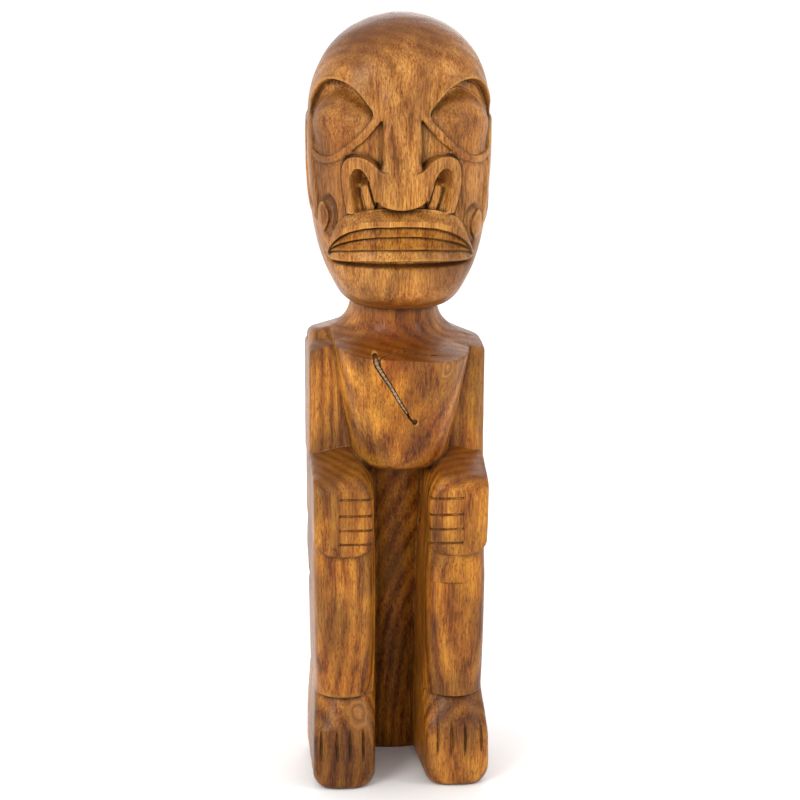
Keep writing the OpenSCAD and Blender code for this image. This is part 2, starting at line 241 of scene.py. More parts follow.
NOSTRIL = spline([
    (36.2, 104), (33.8, 110.6), (30, 112), (26.2, 109), (22.8, 102.6), (20.5, 95), (18.4, 87),
    (15.8, 82), (17, 76), (25, 73), (32.6, 76), (35.0, 90),
], 3, closed=True)
SLOT = spline([(33.4, 103), (32.8, 96), (31.4, 89.5), (28.8, 80)], 3)
EAR = spline([
    (79.5, 146), (92, 150), (106, 147), (116, 136), (119, 118), (113, 98), (100, 82), (84, 70),
    (72, 66), (68.5, 82), (71.5, 104), (75.5, 124),
], 3, closed=True)
SCROLL = (60.0, 70.0, 8.2, 13.0)  # the ear's scroll: its middle and its half sizes

# Heights of the mouth's edges above the jaw, from the middle to the corner
LIP_U = (0, 14, 24, 34, 41, 46.5, 52, 58.5)
LIP_TOP = (81.4, 81.4, 80.3, 77.6, 74.5, 69, 59.5, 47)
LIP_CREST = (73.4, 73.2, 72, 68.6, 64.4, 58.8, 52, 45)
GROOVE_1 = (69.4, 69, 67.6, 64.2, 60.2, 55.6, 50.3, 44.8)
GROOVE_2 = (61.8, 61.3, 59.8, 57.2, 54.8, 52.2, 49, 44.4)
GROOVE_3 = (51.6, 51.4, 51, 49.8, 49.1, 48.3, 47.2, 43.8)
LIP_LOW = (42.8, 42.6, 42.3, 41.6, 41.0, 40.6, 40.6, 41.2)

# The nose: half width at each height, then its front at each height
NOSE_V = (81.5, 85, 90, 98, 107, 116, 150, 170, 190)
NOSE_HALF = (12.5, 16, 18.3, 18.8, 16.6, 13.8, 13.2, 15, 19)
NOSE_FRONT_V = (84, 96, 116, 146, 166, 182, 196)
NOSE_FRONT = (-71.2, -71.3, -68, -64.2, -61, -57.2, -50)


class Face:
    """Coordinates of points on the head: u round the face, v above the jaw, h out of the bare skull."""

    def __init__(self, x, y, z):
        self.y, self.v = y, z - Z_JAW
        turn = np.arctan2(x, FACE_Y - y) * FACE_R
        self.side = np.where(turn + FACE_SHIFT > 0, 1, -1)
        shift = FACE_SHIFT + 1.5 * step((90 - self.v) / 30)
        self.u = np.abs(turn + shift * bump(turn / 110))
        lean = 0.6 + 1.2 * step((self.v - 150) / 50)
        self.h = np.maximum(loft(x - lean, y, self.v, HEAD_FORM), self.v - (Z_CROWN - Z_JAW))
        self.orbit = outline_distance(self.u, self.v, ORBIT)


def lip_line(f, heights):
    return table(f.u, LIP_U, heights)


def muzzle(f):
    """How far the mouth stands out of the skull. Past its corners it sinks into the cheek."""
    return 10.6 * np.maximum(1 - (f.u / 62.5) ** 2, 0.02) ** 0.7 - 3 * step((f.u - 62) / 8)


def lip_band(f, top, low, proud, lean):
    """One band of the mouth. It leans out towards its lower edge, as overlapping boards do."""
    high, base = lip_line(f, top), lip_line(f, low)
    share = np.clip((f.v - base) / np.maximum(high - base, 1), 0, 1)
    edge = smax(f.v - high, base - f.v, 0.3)
    return smax(edge * 0.9, f.h - muzzle(f) * proud + lean * share**1.6, 1.1)


def upper_lip(f):
    """A sloping facet under the nose, then an upright edge."""
    top, crest = lip_line(f, LIP_TOP), lip_line(f, LIP_CREST)
    fall = 1 - 0.74 * np.clip((f.v - crest) / np.maximum(top - crest, 1), 0, 1)
    edge = smax(f.v - top - 0.8, lip_line(f, GROOVE_1) - f.v, 0.3)
    return smax(edge * 0.9, f.h - muzzle(f) * fall, 0.7)


def mouth_ridges(f):
    return np.minimum(lip_band(f, GROOVE_1, GROOVE_2, 0.92, 2.4), lip_band(f, GROOVE_2, GROOVE_3, 0.90, 2.4))


def lower_lip(f):
    return lip_band(f, GROOVE_3, LIP_LOW, 0.94, 2.8)


def socket_depth(f):
    """The socket is deep under the brow and shallow along the lower lid."""
    return 2.2 + 9.4 * step((f.v - EYE_LINE + 4) / 24) * (1 - 0.72 * step((f.u - 50) / 24))


def eye(f):
    ring = outline_distance(f.u, f.v, EYE)
    q = np.minimum(np.maximum(-ring, 0) / 20, 1)
    foot = socket_depth(f) - 0.4
    ridge = np.abs(f.v - EYE_LINE + 0.09 * (f.u - 22))
    fold = 7.4 - 3.6 * step((f.u - 44) / 20)
    swell = (foot + 2.9) * (1 - (1 - q) ** 2.4) - fold * q**0.45 * np.minimum(ridge / 17, 1)
    return smax((f.h + foot - swell) * 0.85, ring + 0.1, 0.5)


def eyelid(f):
    c, share = curve_distance(f.u, f.v, LID)
    rise = 1.3 - 0.9 * step((share - 0.45) * 2.4)
    return (np.sqrt((c / 2.5) ** 2 + ((f.h + 1.2) / (1.2 + rise)) ** 2) - 1) * 2.3


def nose(f):
    half = table(f.v, NOSE_V, NOSE_HALF)
    front = table(f.v, NOSE_FRONT_V, NOSE_FRONT)
    across = (f.u - half + 0.30 * (f.h - 4)) * 0.92
    out = front + 0.010 * f.u**2 - f.y
    low = 81.7 + 0.019 * f.u**2 - f.v
    return smax(smax(across, out, 3.2), low, 1.4)


def nostril(f):
    """The nostril's wing: a curved plate that falls away from the nose, with the hole cut through it."""
    rise = table(f.u, (10, 16, 22, 31, 43), (11, 8.6, 6.4, 4.8, 3.0))
    plate = smax(outline_distance(f.u, f.v, WING), f.h - rise, 1.5)
    hole = outline_distance(f.u, f.v, NOSTRIL)
    slot, _ = curve_distance(f.u, f.v, SLOT)
    inward = np.interp(f.v, (80, 109), (24, 34)) - f.u
    floor = 0.22 * np.clip(inward, -6, 8) - 1.0 - 11 * step((f.v - 97.5 - 0.3 * inward) / 7)
    floor = floor - 5.0 * bump(slot / 1.5)
    floor = floor - 2.6 * bump((hole + 2.2) / 0.8) * step((inward - 1) / 3)
    draft = np.clip(0.30 * (f.h - floor), 0, 2.0)
    plate = smax(plate, -smax(hole + 1.6 - draft, floor - f.h, 0.5), 0.7)
    return smax(plate, 77.8 - f.v, 0.8)


def ear(f):
    """Raised ear with a hollow shell and a scroll at its lower front."""
    edge = outline_distance(f.u, f.v + 1.5 * f.side, EAR)
    shell = smax(edge * 0.7, f.h - 1.5, 3.0)
    shell = smax(shell, -smax(edge + 9, -(f.h + 0.2), 1.0), 2.0)
    cu, cv, ru, rv = SCROLL
    dv = f.v - cv + 3.5 * f.side
    flat = np.sqrt(((f.u - cu) / ru) ** 2 + (dv / rv) ** 2)
    knob = (np.sqrt(flat**2 + ((f.h + 0.6) / 3.9) ** 2) - 1) * 3.9
    groove = np.hypot((flat - 0.98) * ru, (f.h - 0.2) / 1.9) - 2.3 * step((cu + 3 - f.u) / 7)
    return smin(shell, smax(knob, -groove, 0.6), 1.5)


def head(f):
    """The skull with everything that was cut into it."""
    h = np.maximum(f.h, -f.v - 0.5)
    wing = outline_distance(f.u, f.v, WING)
    lid, share = curve_distance(f.u, f.v, LID)
    # Brow, cheeks and chin, and the cuts round the wing, the lid, the scroll and under the lower lip
    h = h - 1.5 * bump((f.orbit - 1) / 5) * step((f.v - 150) / 12) * step((92 - f.u) / 10)
    h = h - 1.2 * bump((f.u - 40) / 26) * bump((f.v - 186) / 14)
    h = h + 1.6 * bump((f.u - 58) / 13) * bump((f.v - 96) / 20)
    h = h + 1.7 * bump((wing - 0.6) / 1.5) * step((f.v - 74) / 6)
    h = h + 1.2 * bump((lid - 3.6) / 1.6) * step((share - 0.42) * 6) * step((120 - f.v) / 4)
    cu, cv, ru, rv = SCROLL
    moat = np.hypot((f.u - cu) / (ru + 3), (f.v - cv + 3.5 * f.side) / (rv + 3))
    h = h + 2.4 * bump((moat - 0.9) / 0.18) * step((cu + 3 - f.u) / 7)
    h = h + 4.4 * bump((f.v - 39.6) / 2.8) * step((66 - f.u) / 10)
    h = h - 1.8 * bump((f.v - 20) / 13) * bump(f.u / 40)
    # Eye socket
    h = smax(h, -smax(f.orbit, -(f.h + socket_depth(f)), 0.8), 0.8)
    # Three-cornered hollow between the lid, the nose and the nostril wing
    hollow = outline_distance(f.u, f.v, CHEEK_HOLLOW)
    h = smax(h, -smax(hollow, -(f.h + 6.0 - 0.2 * (f.u - 14)), 0.5), 0.6)
    # Nostril, cut deepest at its top
    hole = outline_distance(f.u, f.v, NOSTRIL)
    h = smax(h, -smax(hole, -(f.h + 1.4 + 4.6 * step((f.u - 17) / 4) + 6 * step((f.v - 99) / 6)), 0.6), 0.6)
    # Bed of the mouth, which ends at the corners
    mouth = np.maximum(f.v - lip_line(f, LIP_TOP), lip_line(f, LIP_LOW) - f.v)
    mouth = mouth + 2 * step((f.u - 52) / 6) + 4 * step((f.u - 62) / 8)
    return smax(h, -np.maximum(mouth + 0.5, -(f.h + 1)), 0.6)


# ---- neck and body ----
NECK_SHIFT = -2.5  # the neck stands a little to the figure's right
NECK_FORM = [
    (-44, 36, -39, 46, 2.2), (-12, 34.6, -38, 44.5, 2.2), (4, 34.6, -37.5, 44, 2.2),
    (10, 37, -41, 46, 2.2),
]
# Heights from the top of the hands
CHEST_FORM = [
    (-6, 36, -51, 30, 2.3), (0, 38, -53, 30, 2.3), (6, 39.6, -55, 30, 2.3), (20, 41.5, -58, 30, 2.3),
    (45, 46, -62, 30, 2.4), (70, 50, -66, 30, 2.5), (95, 54.2, -69.5, 30, 2.6), (120, 58.5, -73, 30, 2.6),
]


def below_shoulder(*points):
    """Points on the chest from their x and how far they lie below the shoulders."""
    return [(x, Z_SHOULDER - drop) for x, drop in points]


CRACK = below_shoulder((-22, 3), (-20.4, 9), (-15.6, 17), (-9.2, 27), (-2.6, 39), (3.2, 48))
CRACK_TAIL = below_shoulder((3.2, 48), (5.4, 52.5), (9.1, 55.5))
HAIRLINE = [(-20, -67), (-11, -58.5), (4, -55.5), (15, -56.5), (27, -55)]  # on the sloping cut, in x and y


def roof(x, y, z):
    """The sloping cut from the neck down to the shoulders and the chest's rim."""
    s = np.hypot(0.9 * x, y - 2)
    fall = 0.40 * (s - 18) + 0.20 * np.clip(-y - 2, 0, 24) + np.where(x > 0, 0.08, 0.036) * x
    return (z - (Z_SHOULDER + 21 - fall)) * 0.93


def neck(x, y, z):
    column = loft(x - NECK_SHIFT, y, z - Z_JAW, NECK_FORM)
    flared = smin(column, roof(x, y, z) + 0.1, 16)
    return smax_all(0.5, flared, column - 15.5, z - Z_JAW - 3, Z_SHOULDER - 13.5 - z)


def chest(x, y, z):
    shift = 0.4 + 0.02 * np.clip(z - Z_ELBOW, 0, 100)
    d = loft(x - shift, y, z - Z_ELBOW, CHEST_FORM)
    d = smax(d, Z_ELBOW - 4.4 - z, 6)
    d = smax(d, roof(x, y, z), 0.8)
    hair, _ = curve_distance(x, y, spline(HAIRLINE, 4))
    d = smax(d, -smax_all(0.3, hair - 0.45, -(d + 1.2), Z_SHOULDER - 16 - z), 0.3)
    gap, share = curve_distance(x, z, spline(CRACK, 4))
    seam = gap - 1.9 + 0.9 * share
    d = smax(d, -np.maximum(seam, -(d + 1.6)), 0.4)
    tail, _ = curve_distance(x, z, spline(CRACK_TAIL, 4))
    pit = np.hypot(x - CRACK_TAIL[2][0], z - CRACK_TAIL[2][1]) - 1.9
    return smax(d, -np.maximum(np.minimum(tail - 0.6, pit), -(d + 3.0)), 0.5)


def outer(x, z):
    """Half width of the limbs. The wood is narrower along the shins, more so on the figure's left."""
    heights = (40, 80, Z_WRIST, Z_ELBOW, Z_ELBOW + 12)
    left = np.interp(z, heights, (0.4, 5.0, 4.0, 2.4, 1.4))
    right = np.interp(z, heights, (0, 2.6, 0.6, 0.2, 0.2))
    return (HALF_W - np.where(x > 0, left, right)).astype(np.float32)


def limb_x(x, y, z):
    """Distance out from the middle, stretched so that the limbs' slanting inner faces land on INNER."""
    slant = np.where(x < 0, 8.2, 5.6)
    inner = 14.0 + slant * np.clip((25 - y) / 96, 0, 1.1)
    wide = outer(x, z)
    return HALF_W - (wide - np.abs(x)) * (HALF_W - INNER) / (wide - inner)


def upper_arm(x, y, z):
    """A flat slab beside the chest. The shoulders differ: the right one is cut further down."""
    shoulder = np.where(x > 0, 3.0, 5.8)
    x = np.where(x > 0, x + 1.3, -x - 0.6)
    d = rounded_box(x, y, (20, ARM_FRONT), (HALF_W - 0.6, REAR + 6), 2.0)
    bevel = 5.6 + 2.2 * step((Z_SHOULDER - z) / 80)
    d = smax(d, (x - HALF_W + ARM_FRONT - y + bevel) * 0.7071, 1.2)
    d = smax(d, roof(x, y, z), 2.0)
    d = smax(d, (x + z - (HALF_W + Z_SHOULDER - shoulder)) * 0.7071, 4)
    return smax(d, Z_ELBOW - 6 - z, 1)


def trunk(x, y, z):
    """The log's back behind chest and arms, with a faint groove down its middle."""
    d = rounded_box(x, y, (-HALF_W + 1.5, -12), (HALF_W - 1.5, BACK - 0.3), 25)
    d = d + 3.0 * bump(x / 7) * step((y - 30) / 20) * step((Z_SHOULDER - 4 - z) / 20)
    d = d + 2.2 * bump((z - Z_ELBOW - 8) / 26) * step((y - 10) / 30)
    return smax(smax(d, roof(x, y, z), 6), Z_ELBOW - 4 - z, 1)


def forearm(x, y, z):
    d = rounded_box(y, z, (ARM_FRONT + 0.6, Z_WRIST), (REAR, Z_ELBOW + 4), 13)
    d = smax(d, np.abs(x) - outer(x, z) + 0.2, 5)
    return smax(d, 20 - np.abs(x), 1)


FINGER_PITCH = 12.0
FINGER_CUTS = 4


def hand(x, y, z):
    """A fist: front face, sloping top, and a heavily rounded upper inner corner."""
    out = limb_x(x, y, z)
    across = (out - LIMB_MID) / LIMB_HALF
    back = (y - FRONT) / 50
    top = z - (Z_ELBOW - 9.5 + (18 - 4.2 * across) * back) + 2.5 * across**2
    low = Z_WRIST - 6.5 - z + 9.0 * np.abs(across) ** 3
    d = rounded_box(out, z, (INNER + 0.6, Z_WRIST - 12), (HALF_W - 0.2, Z_ELBOW + 30), 3)
    d = smax(d, smax(low, top, 3.0), 4.0)
    inward = 1.14 * np.minimum(out - INNER - 24, 0)
    upward = 0.84 * np.maximum(z - Z_ELBOW + 37 - 21 * back, 0)
    d = smax(d, np.hypot(inward, upward) - 26, 2)
    bow = 0.6 + 0.0022 * (out - LIMB_MID - 4) ** 2 + 0.0016 * (z - Z_WRIST - 24) ** 2
    bow = bow + 5.5 * step((top + 13) / 16) ** 2
    d = smax(d, FRONT + bow - y, 5)
    d = smax(d, y - ARM_FRONT - 12, 1)
    return finger_cuts(d, out, y, z)


def finger_cuts(d, out, y, z):
    """Grooves between the fingers, the line beside them and the arc round the back of the hand."""
    start = INNER + 31.0
    reach = smax(out - start, y - FRONT - 14, 1)
    for k in range(FINGER_CUTS):
        level = Z_WRIST + 4.7 + FINGER_PITCH * k + 0.6 * math.sin(2.3 * k + 1) + 0.02 * (out - 30)
        cut = np.abs(z - level) - 0.8 - 0.7 * (d + 0.5)
        d = smax(d, -np.maximum(np.maximum(cut, reach), -(d + 1.5)), 0.8)
    line = np.maximum(np.abs(out - start - 0.6) - 0.3 - 0.5 * (d + 0.3), np.abs(z - Z_WRIST - 24) - 21)
    d = smax(d, -np.maximum(line, -(d + 0.6)), 0.9)
    arc = np.abs(np.hypot(out - start + 2, (z - Z_WRIST - 23) * 0.85) - 19.5) - 0.5 - 0.6 * (d + 0.3)
    arc = np.maximum(arc, np.maximum(start + 3 - out, z - Z_WRIST - 26))
    return smax(d, -np.maximum(arc, -(d + 0.7)), 0.9)


# ---- hips, legs and feet ----
# Height above the ankle, half width, how far behind FRONT the middle is, how far the corners fall back
SHIN_FORM = [
    (-8, 26.9, 8.5, 13), (0, 26.9, 8.5, 13), (14, 27.0, 7.8, 12), (40, 27.2, 5.4, 10),
    (75, 27.3, 3.6, 9), (100, 27.3, 3.6, 9), (118, 27.0, 5.2, 10), (140, 26.4, 9.0, 11),
]


def shin(x, y, z):
    out = limb_x(x, y, z)
    s = spline(SHIN_FORM, 6)
    half, front, fall = (table(z - Z_ANKLE, s[:, 0], s[:, k]) for k in (1, 2, 3))
    across = np.minimum(np.abs(out - LIMB_MID) / LIMB_HALF, 1.1)
    d = smax(np.abs(out - LIMB_MID) - half, (FRONT + front + fall * across**2.4 - y) * 0.85, 7)
    d = smax(d, y - LEG_BACK - 2, 9)
    d = d + 0.9 * bump((z - Z_KNEE - 4) / 8) * step((out - HALF_W + 12) / 10) * step((y + 40) / 20)
    # The left knee is cut as a low cap with a sharp lower edge
    cap = bump(np.hypot((out - LIMB_MID + 5) / 14, (z - Z_ANKLE - 106) / 20)) * step((z - Z_ANKLE - 97) / 2.5)
    d = d - 2.6 * cap * (x > 0) * step((-y - 30) / 20)
    # The right shin's lower inner corner is rounded away
    curve = np.hypot(np.minimum(out - INNER - 15, 0) / 14, np.minimum(z - Z_ANKLE - 36, 0) / 34)
    notch = np.minimum(13 * (curve - 1), FRONT + 19 - y)
    d = np.where(x < 0, smax(d, notch, 3), d)
    edge = Z_ANKLE + 2.0 + 1.8 * ((out - LIMB_MID) / 26) ** 2
    d = smax(d, edge - z, 1.0)
    return smax(d, z - Z_WRIST - 12, 1)


def thigh(x, y, z):
    d = rounded_box(y, z, (ARM_FRONT - 10, Z_KNEE + 0.5), (REAR + 2, Z_WRIST - 0.5), 9)
    d = smax(d, np.abs(x) - outer(x, z) + 1.4, 4)
    return smax(d, 20 - np.abs(x), 1)


def hips(x, y, z):
    d = rounded_box(x, y, (-HALF_W + 1.2, 0), (HALF_W - 1.2, BACK - 0.3), 26)
    seat = bump((z - Z_KNEE - 26) / 30)
    d = d + (2.5 - 2.5 * seat) * step((y - 20) / 30)
    d = d + 4.5 * bump(x / 5.5) * step((y - 40) / 20) * step((Z_ELBOW - 18 - z) / 30)
    return smax_all(9, d, Z_KNEE - 2 - z, z - Z_ELBOW - 3)


TOE_GAPS = (10.4, 22, 33.8, 47.8)  # out from the limb's inner face


def foot(x, y, z):
    side = np.sign(x)
    out = limb_x(x, y, z)
    front = table(z, (0, 6, 36, 50, 62, 72, 84), (1.5, 0.4, 0.2, 1.4, 6.0, 11.3, 18))
    fall = 3.5 + 9.5 * step((z - 38) / 34) + 6 * step((18 - z) / 16)
    across = np.minimum(np.abs(out - LIMB_MID) / LIMB_HALF, 1.1)
    front = front + 2.0 * (side > 0) + fall * across**2.4
    d = rounded_box(out, z, (INNER - 0.2, 0), (HALF_W - 0.1, Z_ANKLE + 24), 13)
    d = smax(d, (FRONT + front - y) * 0.95, 5)
    d = smax(d, y - LEG_BACK - 2.6, 9)
    d = smax(d, z - Z_ANKLE - 5, 1)
    d = smax(d, -z, 2.0)
    for place in TOE_GAPS:
        at = INNER + place
        lens = np.maximum(1 - ((z - 39 - 1.5 * side) / 15) ** 2, 0)
        cut = np.abs(out - at - 0.03 * (z - 41)) - 1.0 * lens - 0.5 * (d + 0.8)
        ends = np.maximum(22 - z, y - FRONT - 40)
        d = smax(d, -np.maximum(np.maximum(cut, -(d + 1.8 * np.sqrt(lens))), ends), 0.7)
    return d


def post(x, y, z):
    """The upright core behind arms and legs, seen between them."""
    share = np.clip(z / Z_ELBOW, 0, 1.1)
    face = 22 - 56 * share**1.2 + 0.010 * x * x
    core = smax(np.abs(x) - 34, face - y, 1.5)
    block = smax(rounded_box(x, y, (-40, 4), (40, BACK - 0.3), 17), z - Z_KNEE - 4, 1)
    d = np.minimum(smax(core, y - 50, 1), smax(block, LEG_BACK - 1 - y, 1))
    d = smax(d, z - Z_ELBOW - 8, 1)
    return smax(d, -z, 1.5)


# ---- members ----
OVERLAP = 3.0  # how far a limb's field runs on past the middle plane
FACE_BACK = 40.0  # the face's features end at this y


def on_side(field, side):
    """A body member's field on one side of the figure: 1 is its left, -1 its right."""
    return lambda x, y, z: np.maximum(field(x, y, z), -side * x - OVERLAP)


def in_face(field, side=0):
    """A field on the face's own coordinates, on one side or on both."""

    def run(x, y, z):
        f = Face(x, y, z)
        d = np.maximum(field(f), y - FACE_BACK) if field is not head else field(f)
        return np.maximum(d, -side * x - OVERLAP) if side else d

    return run


def pair(kind, place, field, voxel):
    """A member that the figure has on its right and on its left."""
    return {f"right_{kind}": (place(field, -1), voxel), f"left_{kind}": (place(field, 1), voxel)}


# Each CAD node's field and voxel size. G joins them in this order.
MEMBERS = {
    "head": (in_face(head), 1.05),
    **pair("eye", in_face, eye, 0.8),
    **pair("eyelid", in_face, eyelid, 0.7),
    "nose": (in_face(nose), 0.8),
    **pair("nostril", in_face, nostril, 0.7),
    "upper_lip": (in_face(upper_lip), 0.7),
    "mouth_ridges": (in_face(mouth_ridges), 0.7),
    "lower_lip": (in_face(lower_lip), 0.7),
    **pair("ear", in_face, ear, 0.9),
    "neck": (neck, 1.1),
    "chest": (chest, 1.0),
    "trunk": (trunk, 1.5),
    **pair("upper_arm", on_side, upper_arm, 1.1),
    **pair("forearm", on_side, forearm, 1.2),
    **pair("hand", on_side, hand, 0.85),
    "hips": (hips, 1.5),
    **pair("thigh", on_side, thigh, 1.2),
    **pair("shin", on_side, shin, 1.1),
    **pair("foot", on_side, foot, 0.95),
    "post": (post, 1.3),
}
BLEND = 0.7  # radius of the fillet in the carved creases
SOFT_JOINS = {"nose": 1.4, "nostril": 1.2, "eyelid": 2.4, "eye": 1.6, "post": 2.5}  # wider fillets
REACH = {"ear": 30, "trunk": 8, "hips": 8}  # added to FAR
BOXES = {name: box_mm(name) for name in MEMBERS}
CORE = 34.0  # half width of the core that arms and legs stand against
INSIDE, OUTSIDE = -40.0, 25.0  # the fields are cut off at these values
WOBBLE, WOBBLE_SIZE = 0.14, 23  # the hand-cut unevenness
DIP_SLOPE, DIP_REACH = 0.35, 1.2  # how a piece dips under its neighbours, and how far


def kind_of(name):
    """A member's name without its side."""
    return name.removeprefix("right_").removeprefix("left_")


def fields(x, y, z, names):
    """Every member's distance at the points, OUTSIDE where it is out of reach."""
    out = {}
    for name in names:
        low, high = BOXES[name]
        pad = FAR + REACH.get(kind_of(name), 0)
        near = ((x > low[0] - pad) & (x < high[0] + pad) & (y > low[1] - pad) & (y < high[1] + pad)
                & (z > low[2] - pad) & (z < high[2] + pad))
        d = np.full(x.shape, OUTSIDE, np.float32)
        if near.any():
            d[near] = np.clip(MEMBERS[name][0](x[near], y[near], z[near]), INSIDE, OUTSIDE)
        out[name] = d
    return out


def joined(f, x, y, z):
    """G, the whole carved figure, from its members' fields."""
    g = np.full(x.shape, OUTSIDE, np.float32)
    for name, d in f.items():
        g = smin(g, d, SOFT_JOINS.get(kind_of(name), BLEND))
    return np.maximum(g + WOBBLE * wave(x, y, z, WOBBLE_SIZE, 5), -z)


def carving(x, y, z, names):
    """G from the named members only."""
    return joined(fields(x, y, z, names), x, y, z)


def claim(name, d, x, y, z):
    """How far a member's own piece reaches. Members that share a surface meet on a plane."""
    limb = np.maximum(CORE - np.abs(x), y - REAR + 2)
    kind = kind_of(name)
    if name == "neck":
        s = np.hypot(0.9 * (x - NECK_SHIFT), y - 2)
        return np.maximum(np.maximum(s - 40, z - Z_JAW + 0.5), Z_SHOULDER - 8 - z)
    if name == "chest":
        return np.maximum(d, y + 12)
    if name == "trunk":
        return np.maximum(np.maximum(d, -limb), np.maximum(-12 - y, Z_ELBOW - z))
    if name == "hips":
        return np.maximum(np.maximum(d, -limb), z - Z_ELBOW)
    if kind == "upper_arm":
        return np.maximum(np.maximum(d, limb), Z_ELBOW - z)
    if kind == "forearm":
        return np.maximum(np.maximum(d, limb), np.maximum(ARM_FRONT - y, z - Z_ELBOW))
    if kind == "hand":
        return np.maximum(d, y - ARM_FRONT)
    if kind == "thigh":
        return np.maximum(np.maximum(d, limb), -10 - y)
    return d


def own_part(name, names):
    """The field of one piece: G where this member is the nearest, dipping under its neighbours."""

    def run(x, y, z):
        f = fields(x, y, z, names)
        g = joined(f, x, y, z)
        rest = np.full(x.shape, OUTSIDE, np.float32)
        for other, d in f.items():
            if other != name:
                rest = np.minimum(rest, claim(other, d, x, y, z))
        region = 0.5 * (claim(name, f[name], x, y, z) - rest)
        return np.maximum(g + DIP_SLOPE * np.maximum(region, 0), region - DIP_REACH)

    return run


def neighbours(name):
    low, high = BOXES[name]
    out = []
    for other, (lo, hi) in BOXES.items():
        if np.all(lo < high + FAR) and np.all(hi > low - FAR):
            out.append(other)
    return out


# ---- meshing ----
BLOCK = 12  # grid points along a block's side
HALF_DIAGONAL = 0.87  # of a cube, in its own sides
SLACK = 1.35  # the fields are not exact distances
MARGIN = 9.0  # from the CAD box to the grid's edge
HOLLOW_PROBES = ((1.6, 0.35), (4.0, 0.35), (9.0, 0.30))  # distance out of the surface, weight
EDGE_PROBES = ((1.5, 0.5), (3.5, 0.5))  # distance into the wood, weight


def axis_nodes(low, high, size):
    n = int(math.ceil((high - low) / size)) + 1
    n = (n + BLOCK - 1) // BLOCK * BLOCK
    return (low + size * np.arange(n)).astype(np.float32)


def sample(field, low, high, size):
    """The field on a grid, worked out only in the blocks that the surface may cross."""
    axes = [axis_nodes(low[k], high[k], size) for k in range(3)]
    shape = tuple(len(a) for a in axes)
    mids = [a.reshape(-1, BLOCK).mean(1) for a in axes]
    cx, cy, cz = (m.ravel() for m in np.meshgrid(*mids, indexing="ij"))
    centre = field(cx, cy, cz)
    blocks = tuple(s // BLOCK for s in shape)
    grid = np.repeat(np.repeat(np.repeat(centre.reshape(blocks), BLOCK, 0), BLOCK, 1), BLOCK, 2)
    reach = size * BLOCK * HALF_DIAGONAL * SLACK + 1.5
    live = np.argwhere(np.abs(centre.reshape(blocks)) < reach)
    offset = np.stack(np.meshgrid(*[np.arange(BLOCK)] * 3, indexing="ij"), -1).reshape(-1, 3)
    for part in np.array_split(live, max(1, len(live) // 400)):
        if len(part) == 0:
            continue
        i = (part[:, None, :] * BLOCK + offset[None]).reshape(-1, 3)
        grid[i[:, 0], i[:, 1], i[:, 2]] = field(axes[0][i[:, 0]], axes[1][i[:, 1]], axes[2][i[:, 2]])
    for k in range(3):  # an outer layer of air closes the surface
        edge = [slice(None)] * 3
        for end in (0, -1):
            edge[k] = end
            grid[tuple(edge)] = np.maximum(grid[tuple(edge)], 0.5)
    return grid, axes


CORNERS = np.array([(a, b, c) for a in (0, 1) for b in (0, 1) for c in (0, 1)])
EDGES = [(a, b) for a in range(8) for b in range(a + 1, 8) if np.abs(CORNERS[a] - CORNERS[b]).sum() == 1]


def surface_net(grid, axes):
    """Quads through the zero surface: one vertex for each cell that it crosses."""
    inside = grid < 0
    n = [s - 1 for s in grid.shape]
    count = sum(inside[a:a + n[0], b:b + n[1], c:c + n[2]].astype(np.int8) for a, b, c in CORNERS)
    cells = np.argwhere((count > 0) & (count < 8))
    number = np.full(n, -1, np.int32)
    number[tuple(cells.T)] = np.arange(len(cells))
    value = [grid[tuple((cells + c).T)] for c in CORNERS]
    total = np.zeros((len(cells), 3))
    hits = np.zeros(len(cells))
    for a, b in EDGES:
        cross = (value[a] < 0) != (value[b] < 0)
        t = np.where(cross, value[a] / np.where(cross, value[a] - value[b], 1), 0)
        point = CORNERS[a] + t[:, None] * (CORNERS[b] - CORNERS[a])
        total += point * cross[:, None]
        hits += cross
    place = cells + total / hits[:, None]
    verts = np.stack([np.interp(place[:, k], np.arange(len(axes[k])), axes[k]) for k in range(3)], 1)
    quads = []
    for k in range(3):
        p, q = (k + 1) % 3, (k + 2) % 3
        lo = [slice(1, -1)] * 3
        hi = [slice(1, -1)] * 3
        lo[k], hi[k] = slice(0, -1), slice(1, None)
        first, second = inside[tuple(lo)], inside[tuple(hi)]
        at = np.argwhere(first != second)
        out = first[tuple(at.T)]
        at = at + 1
        at[:, k] -= 1
        ring = []
        for dp, dq in ((-1, -1), (0, -1), (0, 0), (-1, 0)):
            c = at.copy()
            c[:, p] += dp
            c[:, q] += dq
            ring.append(number[tuple(c.T)])
        ring = np.stack(ring, 1)
        quads.append(np.where(out[:, None], ring, ring[:, ::-1]))
    return verts, np.concatenate(quads)


def gradient(field, p, h=0.3):
    """Field value and gradient from four points round each vertex."""
    dirs = np.array([(1, -1, -1), (-1, -1, 1), (-1, 1, -1), (1, 1, 1)], np.float32)
    value, grad = 0, 0
    for d in dirs:
        f = field(*(p + d * h).T.astype(np.float32))
        value = value + f / 4
        grad = grad + f[:, None] * d / (4 * h)
    return value, grad


def settle(field, verts, size):
    """Moves the vertices onto the true surface."""
    for _ in range(2):
        value, grad = gradient(field, verts)
        move = -value[:, None] * grad / np.maximum((grad**2).sum(1), 0.25)[:, None]
        length = np.linalg.norm(move, axis=1, keepdims=True)
        verts = verts + move * np.minimum(1, 0.5 * size / np.maximum(length, 1e-6))
    return verts


